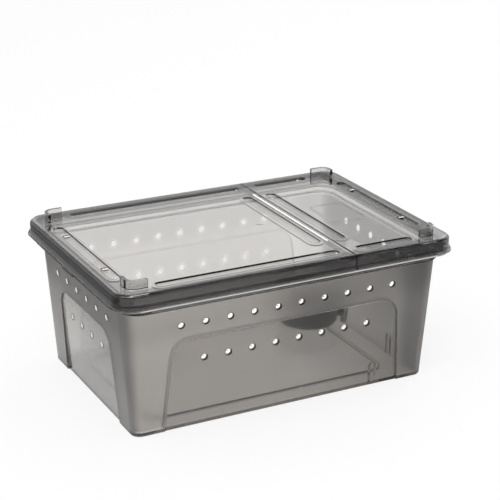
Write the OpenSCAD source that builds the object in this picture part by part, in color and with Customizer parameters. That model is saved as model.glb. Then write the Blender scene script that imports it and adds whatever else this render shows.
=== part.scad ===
/* [Box] */
// Length over the lid skirt
box_l = 260; // [240:1:300]
// Width over the lid skirt
box_w = 180; // [165:1:220]
// Height from the foot to the top of the stacking lugs
box_h = 115; // [108:1:140]

/* [Tub] */
// Thickness of the tub's walls and floor
wall = 2; // [1.6:0.1:2.4]
// Outward lean of the walls in degrees
wall_lean = 4.3; // [3.6:0.1:4.8]
// How far the foot of the wall lies inside the lid's edge
foot_inset = 15.7; // [15:0.1:17]
// Corner radius at the foot
foot_r = 7; // [6:0.5:9]
// Rounding of the foot's lower edge
foot_round = 1.4; // [0.8:0.1:1.8]
// Width of the low border round the raised middle of the floor
border_w = 19.8; // [14:0.2:26]
// Width of that border at the feeding end
feeding_border_w = 23.2; // [14:0.2:28]
// Corner radius of the raised middle of the floor
plateau_r = 10; // [5:0.5:16]
// Rise of the middle of the floor
floor_rise = 1.2; // [0.8:0.1:1.6]

/* [Windows] */
// Height of the clear windows
window_h = 67.4; // [60:0.2:71]
// Radius of a window's upper corners
window_r = 13; // [8:0.5:18]
// Slope of a window's upright edges in degrees
window_taper = 4.5; // [2:0.1:6]
// Depth of a window's recess at the foot
recess_foot = 2; // [1.4:0.1:2.4]
// Depth of a window's recess at its upper edge
recess_head = 0.9; // [0.6:0.1:1.3]
// How far a window's pane runs behind its frame
pane_lap = 1.3; // [1:0.1:2.4]
// Width of a corner column beside a long window, at the foot
long_column = 22.5; // [18:0.5:28]
// Width of a corner column beside a short window, at the foot
short_column = 25.1; // [18:0.5:30]

/* [Vents] */
// Bore of a vent hole
vent_d = 5.2; // [3:0.1:6]
// Spacing of the vent holes in a row
vent_pitch = 18.1; // [14:0.1:19]
// Drop of the upper row below the rim's shelf
vent_top_drop = 15.2; // [11:0.2:16]
// Drop of the lower row below a window's upper edge
vent_low_drop = 16.4; // [10:0.2:25]
// Number of holes in the upper row of a long wall
vents_long_top = 10; // [6:1:10]
// Number of holes in the lower row of a long wall
vents_long_low = 8; // [4:1:8]
// Number of holes in the upper row of a short wall
vents_short_top = 6; // [4:1:6]
// Number of holes in the lower row of a short wall
vents_short_low = 4; // [2:1:4]

/* [Rim] */
// How far the collar's outer face lies inside the lid's edge
collar_inset = 5.1; // [4.8:0.1:5.6]
// How far the flange's edge lies inside the lid's edge
flange_inset = 2.5; // [2.3:0.1:3]
// Thickness of the flange
flange_t = 1.6; // [1.2:0.1:2]
// Drop of the lip under the flange along the straight sides
lip_drop = 1.5; // [1:0.1:2]
// Distance from the lid's edge to each end of a lip
lip_end = 24; // [18:0.5:40]
// Drop of the inner shelf below the flange's upper face
shelf_drop = 4.2; // [4:0.1:6]
// How far the neck between the shelf and the flange stands out past the wall
neck_step = 1.5; // [1:0.1:1.8]

/* [Lids] */
// Corner radius of the lid's edge
lid_r = 15; // [14:0.5:18]
// Thickness of a lid's plate
plate_t = 2; // [1.6:0.1:2.4]
// Thickness of a lid's skirt
skirt_t = 1.8; // [1.4:0.1:2]
// Height of the skirt
skirt_h = 10.7; // [9.6:0.1:12]
// How far the skirt's lower edge stands out past its upper part
flare = 1.7; // [1:0.1:2]
// Height over which the skirt flares
flare_h = 4; // [3:0.1:5]
// Rounding of the lid's upper edge
lid_round = 2.5; // [1.5:0.1:3]
// Distance of the seam between the lids from the middle of the box
seam_x = 46.5; // [30:0.5:60]
// Gap between the two lids
seam_gap = 0.8; // [0.4:0.1:1.4]
// Depth of the stiffening rib under each lid at the seam
rib_h = 4; // [2:0.5:6]
// Thickness of the stiffening rib
rib_t = 1.6; // [1.2:0.1:2.4]
// Length of the grip tab on each short side
tab_l = 22; // [16:1:40]
// Drop of the grip tab below the skirt
tab_drop = 1.8; // [1:0.1:4]
// Thickness of the grip tab
tab_t = 1.6; // [1.2:0.1:1.7]

/* [Grooves] */
// Width of the grooves in the lids
groove_w = 7.8; // [5:0.2:8.4]
// Depth of the grooves
groove_d = 1.2; // [0.6:0.1:1.6]
// Distance from the lid's edge to the middle of an edge groove
groove_inset = 13.9; // [13.4:0.1:15]
// Distance from the lid's edge to the end of a long edge groove
groove_end = 32; // [31:0.5:40]
// Distance from the seam to the end of a long edge groove
groove_seam_end = 6.5; // [5:0.5:12]
// Distance from the lid's edge to the end of a cross groove
cross_end = 35; // [33:0.5:50]
// Distance from the seam to the middle of the main lid's groove beside it
main_cross_inset = 11.2; // [7:0.1:14]
// Distance from the seam to the middle of the feeding lid's groove beside it
feeding_cross_inset = 7.6; // [6.5:0.1:12]
// Distance between the two small ribs across each end groove
nub_pitch = 70; // [50:1:80]
// Thickness of the small ribs
nub_t = 1.2; // [0.8:0.1:2]

/* [Lugs] */
// Height of the stacking lugs above the lids
lug_h = 6.2; // [4:0.1:8]
// Thickness of a lug
lug_t = 2.2; // [1.6:0.1:3]
// How far a lug's outer face lies inside the lid's edge
lug_inset = 11.6; // [9:0.1:12]
// Outer corner radius of a lug
lug_r = 7; // [4:0.5:9]
// Length of the main lid's lugs along the long side
main_lug_long = 14.5; // [12:0.5:18]
// Length of the main lid's lugs along the short side
main_lug_short = 12.5; // [10:0.5:20]
// Length of the feeding lid's lugs along the long side
feeding_lug_long = 14.5; // [10:0.5:18]
// Length of the feeding lid's lugs along the short side
feeding_lug_short = 10; // [10:0.5:20]

/* [Feeding dish] */
// Diameter over the dish's rim
dish_d = 50; // [40:0.5:52]
// Height of the dish
dish_h = 20; // [14:0.5:26]
// Wall and floor of the dish
dish_t = 1.6; // [1.2:0.1:2.4]
// Width of the dish's rim beyond its wall
dish_lip = 0.8; // [0.4:0.1:1.4]
// Height of the dish's rim
dish_lip_h = 1.6; // [1:0.1:2.4]
// Inward lean of the dish's wall in degrees
dish_lean = 3.2; // [1:0.1:6]
// Rounding of the dish's lower edge
dish_round = 3; // [2:0.5:4]
// Distance between the wing's upper corners
wing_w = 53.6; // [52:0.2:58]
// Height of the wings
wing_h = 17.3; // [12:0.1:18]
// Thickness of the wings
wing_t = 1.4; // [1:0.1:2]
// How much narrower each wing is at its foot
wing_taper = 0.8; // [0.2:0.1:1.5]
// Distance of the wings behind the dish's middle
wing_back = 9.9; // [8:0.1:14]

/* [Dish rails] */
// Height of the rails above the floor
rail_h = 13.2; // [8:0.2:18]
// Reach of the rails from the wall
rail_reach = 3.4; // [2.4:0.1:3.6]
// Thickness of each of the two fins of a rail
fin_t = 1.2; // [0.8:0.1:1.8]

/* [Clearances] */
// Gap between the skirt's lower edge and the flange
skirt_gap = 0.3; // [0.2:0.05:0.5]
// Gap between the collar's upper edge and the lid's plate
seat_gap = 0.2; // [0.1:0.05:0.4]
// Gap on each side of a wing in its rail
wing_gap = 0.35; // [0.2:0.05:0.6]
// Gap between a wing's end and the wall
wing_end_gap = 0.9; // [0.6:0.1:1.4]
// Gap between the dish and the raised floor
dish_gap = 0.3; // [0.2:0.05:0.5]
// Gap between the stiffening ribs and the collar
rib_gap = 0.8; // [0.5:0.1:1.5]

/* [Hidden] */
$fn = 64;
// Segments of a rounded outline's corner
corner_steps = 12;
// Segments of a small rounding
edge_steps = 5;
// How far a cut runs past the face it opens
over = 1;
// How far pieces of one body run into each other
bite = 0.4;

half_l = box_l / 2;
half_w = box_w / 2;

// Heights, from the top down
lid_top = box_h - lug_h;
plate_low = lid_top - plate_t;
collar_top = plate_low - seat_gap;
skirt_low = lid_top - skirt_h;
flange_top = skirt_low - skirt_gap;
flange_low = flange_top - flange_t;
shelf_top = flange_top - shelf_drop;
vent_top_z = shelf_top - vent_top_drop;
vent_low_z = window_h - vent_low_drop;

// The wall's corner axes and its lean
foot_x = half_l - foot_inset;
foot_y = half_w - foot_inset;
wall_ax = foot_x - foot_r;
wall_ay = foot_y - foot_r;
wall_slope = tan(wall_lean);

// The windows' planes
pane_x = foot_x - recess_foot;
pane_y = foot_y - recess_foot;
pane_slope = wall_slope + (recess_foot - recess_head) / window_h;
pane_lean = atan(pane_slope);

// The raised middle of the floor
plateau_x = foot_x - (border_w + feeding_border_w) / 2;
plateau_y = foot_y - border_w;
plateau_shift = (border_w - feeding_border_w) / 2;

// The rim's and lids' corner axes
lid_ax = half_l - lid_r;
lid_ay = half_w - lid_r;

// Place of the dish: its wings cross the corner at 45 degrees
rail_mid_z = wall + rail_h / 2;
inner_x = pane_x - wall + pane_slope * rail_mid_z;
inner_y = pane_y - wall + pane_slope * rail_mid_z;
wing_set = (wing_w / 2 + wing_end_gap) * sqrt(2);
wing_mid_x = inner_x - wing_set / 2;
wing_mid_y = inner_y - wing_set / 2;
dish_x = wing_mid_x - wing_back / sqrt(2);
dish_y = wing_mid_y - wing_back / sqrt(2);
dish_z = wall + floor_rise + dish_gap;

// Points of an arc from one angle to another
function arc(x, y, r, from, to, steps) =
    [for (i = [0 : steps]) let (a = from + (to - from) * i / steps) [x + r * cos(a), y + r * sin(a)]];

// Outline of a rounded rectangle
function round_rect(hx, hy, r) = concat(
    arc(hx - r, hy - r, r, 0, 90, corner_steps),
    arc(r - hx, hy - r, r, 90, 180, corner_steps),
    arc(r - hx, r - hy, r, 180, 270, corner_steps),
    arc(hx - r, r - hy, r, 270, 360, corner_steps));

// Outline of a slot with round ends, centred, its length along x
function slot_outline(len, w) = concat(
    arc((len - w) / 2, 0, w / 2, -90, 90, corner_steps),
    arc((w - len) / 2, 0, w / 2, 90, 270, corner_steps));

// Outline of a window, wide at the foot, with round upper corners
function window_outline(half, h, r, low) = let (
    cx = half - (h - r) * tan(window_taper) - r / cos(window_taper),
    cy = h - r,
    foot = half - low * tan(window_taper)) concat(
    [[foot, low]],
    arc(cx, cy, r, window_taper, 90, corner_steps),
    arc(-cx, cy, r, 90, 180 - window_taper, corner_steps),
    [[-foot, low]]);

// Sweeps a section round a rounded rectangle; x is the distance from the corner axis
module sweep_round(ax, ay) {
    for (side = [0, 2]) {
        rotate([0, 0, side * 90])
            translate([ax, ay, 0])
                rotate([90, 0, 0])
                    linear_extrude(2 * ay) children();
        rotate([0, 0, side * 90 + 90])
            translate([ay, ax, 0])
                rotate([90, 0, 0])
                    linear_extrude(2 * ax) children();
    }
    for (corner = [[1, 1, 0], [-1, 1, 90], [-1, -1, 180], [1, -1, 270]])
        translate([corner[0] * ax, corner[1] * ay, 0])
            rotate([0, 0, corner[2]])
                rotate_extrude(angle = 90) children();
}

// Puts a piece on a window's plane: x along the wall, y up, z outwards
module on_pane(turn, foot) {
    rotate([0, 0, turn])
        translate([0, -foot, 0])
            rotate([90 + pane_lean, 0, 0])
                children();
}

// Runs its piece on all four window planes, given as half width and turn
module each_window() {
    for (turn = [0, 180]) {
        on_pane(turn, pane_y) {
            $half = foot_x - long_column;
            children();
        }
        on_pane(turn + 90, pane_x) {
            $half = foot_y - short_column;
            children();
        }
    }
}

// Section of the tub's wall, with the rounded foot and the rounded inner edge
module wall_section() {
    inner_round = foot_round + wall / 2;
    polygon(concat(
        [[foot_r - wall - inner_round, 0]],
        arc(foot_r - foot_round, foot_round, foot_round, -90, -wall_lean, edge_steps),
        [[foot_r + wall_slope * shelf_top, shelf_top],
         [foot_r + wall_slope * shelf_top - wall, shelf_top]],
        arc(foot_r - wall - inner_round + wall_slope * (wall + inner_round), wall + inner_round,
            inner_round, -wall_lean, -90, edge_steps),
        [[foot_r - wall - inner_round, wall]]));
}

module tub_floor() {
    floor_x = wall_ax + foot_r - wall - foot_round - wall / 2;
    floor_y = wall_ay + foot_r - wall - foot_round - wall / 2;
    translate([-floor_x, -floor_y, 0])
        cube([2 * floor_x, 2 * floor_y, wall]);
    translate([plateau_shift, 0, wall / 2])
        linear_extrude(wall / 2 + floor_rise)
            polygon(round_rect(plateau_x + wall, plateau_y + wall, plateau_r + wall));
}

// The shelf, the neck, the flange with its lips, and the collar that stands inside the lid
module tub_rim() {
    wall_mid = wall_slope * shelf_top - wall / 2;
    neck = wall_slope * shelf_top + neck_step;
    neck_mid = neck - wall / 2;
    collar_r = lid_r - collar_inset;
    flange_r = lid_r - flange_inset;
    translate([0, 0, shelf_top - wall])
        linear_extrude(wall)
            difference() {
                polygon(round_rect(foot_x + neck_mid, foot_y + neck_mid, foot_r + neck_mid));
                polygon(round_rect(foot_x + wall_mid, foot_y + wall_mid, foot_r + wall_mid));
            }
    sweep_round(wall_ax, wall_ay)
        translate([foot_r + neck - wall, shelf_top - wall])
            square([wall, flange_top - shelf_top + wall]);
    translate([0, 0, flange_low])
        linear_extrude(flange_t)
            difference() {
                polygon(round_rect(lid_ax + flange_r, lid_ay + flange_r, flange_r));
                polygon(round_rect(foot_x + neck_mid, foot_y + neck_mid, foot_r + neck_mid));
            }
    sweep_round(lid_ax, lid_ay)
        translate([collar_r - wall, flange_low + flange_t / 2])
            square([wall, collar_top - flange_low - flange_t / 2]);
    for (turn = [0, 180]) {
        rotate([0, 0, turn]) rim_lip(half_l, half_w);
        rotate([0, 0, turn + 90]) rim_lip(half_w, half_l);
    }
}

// One lip, under the flange's edge on the side at the given distance
module rim_lip(side, across) {
    translate([side - flange_inset - flange_t, lip_end - across, flange_low - lip_drop])
        cube([flange_t, 2 * (across - lip_end), lip_drop + flange_t / 2]);
}

// Both rails of one corner: fins on each side of the wings' plane, ended inside the wall
module corner_rails() {
    slot = wing_t + 2 * wing_gap;
    for (end = [-1, 1])
        intersection() {
            translate([wing_mid_x, wing_mid_y, wall / 2])
                rotate([0, 0, end < 0 ? -45 : 135])
                    for (side = [-1, 1])
                        translate([wing_set / sqrt(2) - rail_reach,
                                   side * (slot + fin_t) / 2 - fin_t / 2, 0])
                            cube([rail_reach + 2 * wall, fin_t, rail_h + wall / 2]);
            if (end < 0)
                on_pane(90, pane_x)
                    translate([-half_w, 0, -half_w])
                        cube([box_w, box_h, half_w - wall / 2]);
            else
                on_pane(180, pane_y)
                    translate([-half_l, 0, -half_l])
                        cube([box_l, box_h, half_l - wall / 2]);
        }
}

module vent_rows(length, top, low) {
    for (row = [[top, vent_top_z], [low, vent_low_z]])
        for (i = [0 : row[0] - 1])
            translate([(i - (row[0] - 1) / 2) * vent_pitch, 0, row[1]])
                rotate([90, 0, 0])
                    cylinder(h = length, d = vent_d, center = true);
}

module tub() {
    color([0.45, 0.43, 0.41, 0.6])
    difference() {
        union() {
            sweep_round(wall_ax, wall_ay) wall_section();
            tub_floor();
            each_window()
                translate([0, 0, -wall])
                    linear_extrude(wall + bite / 2)
                        polygon(window_outline($half + pane_lap, window_h + pane_lap,
                                               window_r + pane_lap, wall / 2));
            tub_rim();
            corner_rails();
            mirror([0, 1, 0]) corner_rails();
        }
        each_window()
            linear_extrude(recess_foot + wall)
                polygon(window_outline($half, window_h, window_r, -over));
        translate([plateau_shift, 0, -over])
            linear_extrude(floor_rise + over)
                polygon(round_rect(plateau_x, plateau_y, plateau_r));
        vent_rows(box_w, vents_long_top, vents_long_low);
        rotate([0, 0, 90]) vent_rows(box_l, vents_short_top, vents_short_low);
    }
}

// Section of the lids: the flared skirt, the rounded edge and the plate
module lid_section() {
    upper = lid_r - flare;
    polygon(concat(
        [[0, plate_low],
         [upper - skirt_t, plate_low],
         [upper - skirt_t, skirt_low + flare_h],
         [lid_r - skirt_t, skirt_low],
         [lid_r, skirt_low],
         [lid_r, skirt_low + flare_h / 5],
         [upper, skirt_low + flare_h]],
        arc(upper - lid_round, lid_top - lid_round, lid_round, 0, 90, edge_steps),
        [[0, lid_top]]));
}

// A groove in the plate with the plate's thickness kept below it
module groove_boss(len) {
    translate([0, 0, plate_low - groove_d])
        linear_extrude(groove_d + plate_t / 2)
            polygon(slot_outline(len + 2 * plate_t, groove_w + 2 * plate_t));
}

module groove_cut(len) {
    translate([0, 0, lid_top - groove_d])
        linear_extrude(groove_d + over)
            polygon(slot_outline(len, groove_w));
}

// Places a long edge groove from one x to another at both long sides
module long_grooves(from, to) {
    for (side = [-1, 1])
        translate([(from + to) / 2, side * (half_w - groove_inset), 0])
            children();
}

// L-shaped stacking lug in the corner at +x +y, with its two arms' lengths
module lug(long, short) {
    x = half_l - lug_inset;
    y = half_w - lug_inset;
    inner_r = lug_r - lug_t;
    translate([0, 0, lid_top - plate_t / 2])
        linear_extrude(lug_h + plate_t / 2)
            polygon(concat(
                [[x, y - short]],
                arc(x - lug_r, y - lug_r, lug_r, 0, 90, corner_steps),
                [[x - long, y],
                 [x - long, y - lug_t]],
                arc(x - lug_r, y - lug_r, inner_r, 90, 0, corner_steps),
                [[x - lug_t, y - short]]));
}

// Grip tab that hangs from the skirt at the middle of the short side at +x
module grip_tab() {
    translate([half_l - tab_t, 0, 0])
        rotate([90, 0, 90])
            linear_extrude(tab_t)
                polygon([[-tab_l / 2, skirt_low + bite],
                         [-tab_l / 2, skirt_low - tab_drop / 2],
                         [tab_drop / 2 - tab_l / 2, skirt_low - tab_drop],
                         [tab_l / 2 - tab_drop / 2, skirt_low - tab_drop],
                         [tab_l / 2, skirt_low - tab_drop / 2],
                         [tab_l / 2, skirt_low + bite]]);
}

// One lid on the +x side of the box, from its seam edge outwards
module lid_half(seam, cross_inset, lug_long, lug_short) {
    from = seam + groove_seam_end;
    to = half_l - groove_end;
    cross_l = box_w - 2 * cross_end;
    cross_places = [seam + cross_inset, half_l - groove_inset];
    rib_half = half_w - collar_inset - wall - rib_gap;
    for (side = [-1, 1])
        translate([half_l - groove_inset - groove_w / 4,
                   side * nub_pitch / 2 - nub_t / 2,
                   plate_low - groove_d / 2])
            cube([groove_w / 2, nub_t, plate_t]);
    difference() {
        union() {
            intersection() {
                union() {
                    sweep_round(lid_ax, lid_ay) lid_section();
                    translate([-lid_ax, -lid_ay, plate_low])
                        cube([2 * lid_ax, 2 * lid_ay, plate_t]);
                }
                translate([seam, -box_w, 0])
                    cube([box_l, 2 * box_w, 2 * box_h]);
            }
            translate([seam, -rib_half, plate_low - rib_h])
                cube([rib_t, 2 * rib_half, rib_h + plate_t / 2]);
            long_grooves(from, to) groove_boss(to - from);
            for (x = cross_places)
                translate([x, 0, 0])
                    rotate([0, 0, 90])
                        groove_boss(cross_l);
            lug(lug_long, lug_short);
            mirror([0, 1, 0]) lug(lug_long, lug_short);
            grip_tab();
        }
        long_grooves(from, to) groove_cut(to - from);
        for (x = cross_places)
            translate([x, 0, 0])
                rotate([0, 0, 90])
                    groove_cut(cross_l);
    }
}

module main_lid() {
    color([0.62, 0.61, 0.59, 0.6])
    mirror([1, 0, 0])
        lid_half(seam_gap / 2 - seam_x, main_cross_inset, main_lug_long, main_lug_short);
}

module feeding_lid() {
    color([0.60, 0.59, 0.57, 0.6])
    lid_half(seam_x + seam_gap / 2, feeding_cross_inset, feeding_lug_long, feeding_lug_short);
}

// Outer and inner sections of the dish
module dish_section() {
    slope = tan(dish_lean);
    top_r = dish_d / 2 - dish_lip;
    foot = top_r - slope * (dish_h - dish_lip_h);
    polygon(concat(
        [[0, 0]],
        arc(foot - dish_round, dish_round, dish_round, -90, 0, edge_steps),
        [[top_r, dish_h - dish_lip_h],
         [dish_d / 2, dish_h - dish_lip_h],
         [dish_d / 2, dish_h],
         [0, dish_h]]));
}

module dish_cup() {
    slope = tan(dish_lean);
    top_r = dish_d / 2 - dish_lip - dish_t;
    foot = top_r - slope * (dish_h - dish_t);
    inner_round = dish_round - dish_t / 2;
    polygon(concat(
        [[0, dish_t]],
        arc(foot - inner_round, dish_t + inner_round, inner_round, -90, 0, edge_steps),
        [[top_r + slope * over, dish_h + over],
         [0, dish_h + over]]));
}

module feeding_dish() {
    half = wing_w / 2;
    color([0.06, 0.06, 0.06])
    translate([dish_x, dish_y, dish_z])
        rotate([0, 0, -45])
            difference() {
                union() {
                    rotate_extrude() dish_section();
                    translate([0, wing_back + wing_t / 2, 0])
                        rotate([90, 0, 0])
                            linear_extrude(wing_t)
                                polygon([[-half, dish_h],
                                         [wing_taper - half, dish_h - wing_h + wing_t],
                                         [wing_taper + wing_t - half, dish_h - wing_h],
                                         [half - wing_taper - wing_t, dish_h - wing_h],
                                         [half - wing_taper, dish_h - wing_h + wing_t],
                                         [half, dish_h]]);
                }
                rotate_extrude() dish_cup();
            }
}

tub();
main_lid();
feeding_lid();
feeding_dish();
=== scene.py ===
import math

import bpy
from mathutils import Matrix, Vector


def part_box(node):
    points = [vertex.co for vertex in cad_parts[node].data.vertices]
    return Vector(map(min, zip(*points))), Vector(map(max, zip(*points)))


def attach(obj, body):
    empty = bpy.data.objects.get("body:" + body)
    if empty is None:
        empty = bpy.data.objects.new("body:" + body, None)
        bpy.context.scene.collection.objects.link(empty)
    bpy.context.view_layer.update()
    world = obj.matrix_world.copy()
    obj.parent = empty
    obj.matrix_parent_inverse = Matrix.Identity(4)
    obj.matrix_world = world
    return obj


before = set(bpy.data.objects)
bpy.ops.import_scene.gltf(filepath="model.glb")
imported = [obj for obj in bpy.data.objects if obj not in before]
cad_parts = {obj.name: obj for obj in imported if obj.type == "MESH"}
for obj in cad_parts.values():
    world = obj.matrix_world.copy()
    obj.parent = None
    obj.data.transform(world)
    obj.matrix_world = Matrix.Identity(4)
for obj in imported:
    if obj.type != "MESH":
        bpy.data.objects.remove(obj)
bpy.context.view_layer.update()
print("frame loaded:", ", ".join(sorted(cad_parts)))

mm = 0.001


def addNode(tree, kind, **settings):
    node = tree.nodes.new(kind)
    for name, value in settings.items():
        setattr(node, name, value)
    return node


def feed(tree, socket, value):
    # a socket is linked, anything else is typed in
    if isinstance(value, bpy.types.NodeSocket):
        tree.links.new(value, socket)
    else:
        socket.default_value = value


def calc(tree, operation, *values):
    node = addNode(tree, "ShaderNodeMath", operation=operation)
    for socket, value in zip(node.inputs, values):
        feed(tree, socket, value)
    return node.outputs[0]


def plus(tree, first, second):
    return calc(tree, "ADD", first, second)


def minus(tree, first, second):
    return calc(tree, "SUBTRACT", first, second)


def times(tree, first, *others):
    for other in others:
        first = calc(tree, "MULTIPLY", first, other)
    return first


def larger(tree, first, second):
    return calc(tree, "MAXIMUM", first, second)


def above(tree, value, limit):
    return calc(tree, "GREATER_THAN", value, limit)


def below(tree, value, limit):
    return calc(tree, "LESS_THAN", value, limit)


def absolute(tree, value):
    return calc(tree, "ABSOLUTE", value)


def hypotenuse(tree, first, second):
    squares = plus(tree, times(tree, first, first), times(tree, second, second))
    return calc(tree, "SQRT", squares)


def axes(tree, vector):
    split = addNode(tree, "ShaderNodeSeparateXYZ")
    feed(tree, split.inputs[0], vector)
    return split.outputs[:3]


def blendValue(tree, factor, low, high):
    node = addNode(tree, "ShaderNodeMix", data_type="FLOAT")
    for index, value in ((0, factor), (2, low), (3, high)):
        feed(tree, node.inputs[index], value)
    return node.outputs[0]


def blendColour(tree, factor, low, high, how="MIX"):
    node = addNode(tree, "ShaderNodeMix", data_type="RGBA", blend_type=how)
    for index, value in ((0, factor), (6, low), (7, high)):
        feed(tree, node.inputs[index], value)
    return node.outputs[2]


def noise(tree, vector, scale, detail, rough):
    node = addNode(tree, "ShaderNodeTexNoise")
    for name, value in (("Vector", vector), ("Scale", scale), ("Detail", detail),
                        ("Roughness", rough)):
        feed(tree, node.inputs[name], value)
    return node.outputs["Fac"]


def ramp(tree, value, low, high, toLow=0.0, toHigh=1.0):
    node = addNode(tree, "ShaderNodeMapRange", interpolation_type="SMOOTHSTEP")
    for name, number in (("Value", value), ("From Min", low), ("From Max", high),
                         ("To Min", toLow), ("To Max", toHigh)):
        feed(tree, node.inputs[name], number)
    return node.outputs[0]


def within(tree, value, middle, half, soft):
    # 1 while the value is nearer to the middle than half, falling softly to 0
    away = absolute(tree, minus(tree, value, middle))
    return ramp(tree, away, minus(tree, half, soft), plus(tree, half, soft), 1.0, 0.0)


def insetFrom(tree, x, y, halfLength, halfWidth, radius):
    # distance inwards from a rounded rectangle's edge, below zero outside it
    side = minus(tree, x, minus(tree, halfLength, radius))
    across = minus(tree, y, minus(tree, halfWidth, radius))
    corner = hypotenuse(tree, larger(tree, side, 0.0), larger(tree, across, 0.0))
    inner = calc(tree, "MINIMUM", larger(tree, side, across), 0.0)
    return minus(tree, radius, plus(tree, corner, inner))


def startGroup(name, numbers, outputs):
    # every number becomes an input of that name; Tint is the one output that is a colour
    group = bpy.data.node_groups.new(name, "ShaderNodeTree")
    face = group.interface
    face.new_socket(name="Position", in_out="INPUT", socket_type="NodeSocketVector")
    for label, number in numbers.items():
        face.new_socket(name=label, in_out="INPUT",
                        socket_type="NodeSocketFloat").default_value = number
    for label in outputs:
        kind = "NodeSocketColor" if label == "Tint" else "NodeSocketFloat"
        face.new_socket(name=label, in_out="OUTPUT", socket_type=kind)
    return group, addNode(group, "NodeGroupInput").outputs


def endGroup(group, results):
    result = addNode(group, "NodeGroupOutput")
    for label, value in results.items():
        feed(group, result.inputs[label], value)
    return group


def placeGroup(tree, group, position, numbers=()):
    node = addNode(tree, "ShaderNodeGroup", node_tree=group)
    feed(tree, node.inputs["Position"], position)
    for label, value in dict(numbers).items():
        feed(tree, node.inputs[label], value)
    return node.outputs


windowShape = {
    "Long Half": 91.8 * mm,     # half width of the long windows at the foot
    "Short Half": 49.2 * mm,
    "Height": 67.4 * mm,
    "Corner Radius": 13 * mm,
    "Taper": math.tan(math.radians(4.5)),
    "Edge": 0.25 * mm,
    "Outline Half": 0.45 * mm,
    "Outline Soft": 0.2 * mm,
    "Wall Long": 68 * mm,       # anything further out than this is wall, at the foot
    "Wall Short": 108 * mm,
    "Lean": 0.0752,
    "Wall Top": 91.2 * mm,
    "Facing Soft": 6 * mm,      # how far the change of wall is blended round the corner
}


def makeWindowMask():
    # which part of the tub's walls is clear window and which is satin frame
    group, get = startGroup("windowMask", windowShape,
                            ("Window", "Frame", "Outline", "Short Wall"))
    x, y, z = axes(group, get["Position"])
    x, y = absolute(group, x), absolute(group, y)
    edge, soft = get["Edge"], get["Facing Soft"]

    def onWall(outward, start):
        foot = plus(group, start, times(group, z, get["Lean"]))
        return above(group, minus(group, outward, foot), 0.0)

    def inWindow(along, half):
        narrowed = minus(group, half, times(group, z, get["Taper"]))
        inset = insetFrom(group, along, z, narrowed, get["Height"], get["Corner Radius"])
        return (ramp(group, inset, times(group, edge, -1.0), edge),
                within(group, inset, 0.0, get["Outline Half"], get["Outline Soft"]))

    longWall = onWall(y, get["Wall Long"])
    shortWall = onWall(x, get["Wall Short"])
    window, outline = [
        larger(group, times(group, longWall, onLong), times(group, shortWall, onShort))
        for onLong, onShort in zip(inWindow(x, get["Long Half"]), inWindow(y, get["Short Half"]))]
    wall = times(group, larger(group, longWall, shortWall), below(group, z, get["Wall Top"]))
    # which way the wall faces
    facing = minus(group, minus(group, x, get["Wall Short"]), minus(group, y, get["Wall Long"]))
    return endGroup(group, {
        "Window": window,
        "Frame": times(group, wall, minus(group, 1.0, window)),
        "Outline": outline,
        "Short Wall": times(group, wall, ramp(group, facing, times(group, soft, -1.0), soft)),
    })


marksShape = {
    "inputs": {"Smudge Size": 28.0, "Smudge": 0.03, "Scratch": 0.03},
    "smudgeNoise": (4.0, 0.6),
    "smudgeRange": (0.45, 0.75),
    "scratchNoise": (1.0, 1.0, 0.4),
    "scratchRange": (0.72, 0.80),
    "scratchTilt": (0.1, 0.2),
    # the turn of each set of scratches and how much it is drawn out
    "scratchSets": ((0.35, (900.0, 14.0, 900.0)), (-0.9, (700.0, 10.0, 700.0))),
}


def makeHandlingMarks():
    # fine hairline scratches and soft smudges that a moulded box picks up in use
    group, get = startGroup("handlingMarks", marksShape["inputs"], ("Roughness", "Height"))
    smudge = ramp(group, noise(group, get["Position"], get["Smudge Size"],
                               *marksShape["smudgeNoise"]), *marksShape["smudgeRange"])
    scratches = []
    for turn, stretch in marksShape["scratchSets"]:
        laid = addNode(group, "ShaderNodeMapping")
        feed(group, laid.inputs["Vector"], get["Position"])
        feed(group, laid.inputs["Rotation"], (*marksShape["scratchTilt"], turn))
        feed(group, laid.inputs["Scale"], stretch)
        scratches.append(ramp(group, noise(group, laid.outputs[0], *marksShape["scratchNoise"]),
                              *marksShape["scratchRange"]))
    scratch = larger(group, *scratches)
    return endGroup(group, {
        "Roughness": plus(group, times(group, smudge, get["Smudge"]),
                          times(group, scratch, get["Scratch"])),
        "Height": times(group, scratch, -1.0),
    })


skinShape = {
    "inputs": {"Wave Size": 40.0, "Grain Size": 1500.0, "Grain": 0.0, "Tint Change": 0.05},
    "waveNoise": (1.0, 0.4),
    "waveShare": 0.6,
    "grainNoise": (2.0, 0.6),
    "tintNoise": (17.0, 2.0, 0.5),
}


def makeMouldSkin():
    # slight waviness of an injection-moulded face and slow changes in its tint
    group, get = startGroup("mouldSkin", skinShape["inputs"], ("Height", "Tint"))
    wave = noise(group, get["Position"], get["Wave Size"], *skinShape["waveNoise"])
    grain = noise(group, get["Position"], get["Grain Size"], *skinShape["grainNoise"])
    change = noise(group, get["Position"], *skinShape["tintNoise"])
    shade = minus(group, 1.0, times(group, get["Tint Change"], change))
    colour = addNode(group, "ShaderNodeCombineColor")
    for socket in colour.inputs[:3]:
        feed(group, socket, shade)
    return endGroup(group, {
        "Height": plus(group, times(group, wave, skinShape["waveShare"]),
                       times(group, grain, get["Grain"])),
        "Tint": colour.outputs[0],
    })


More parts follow.
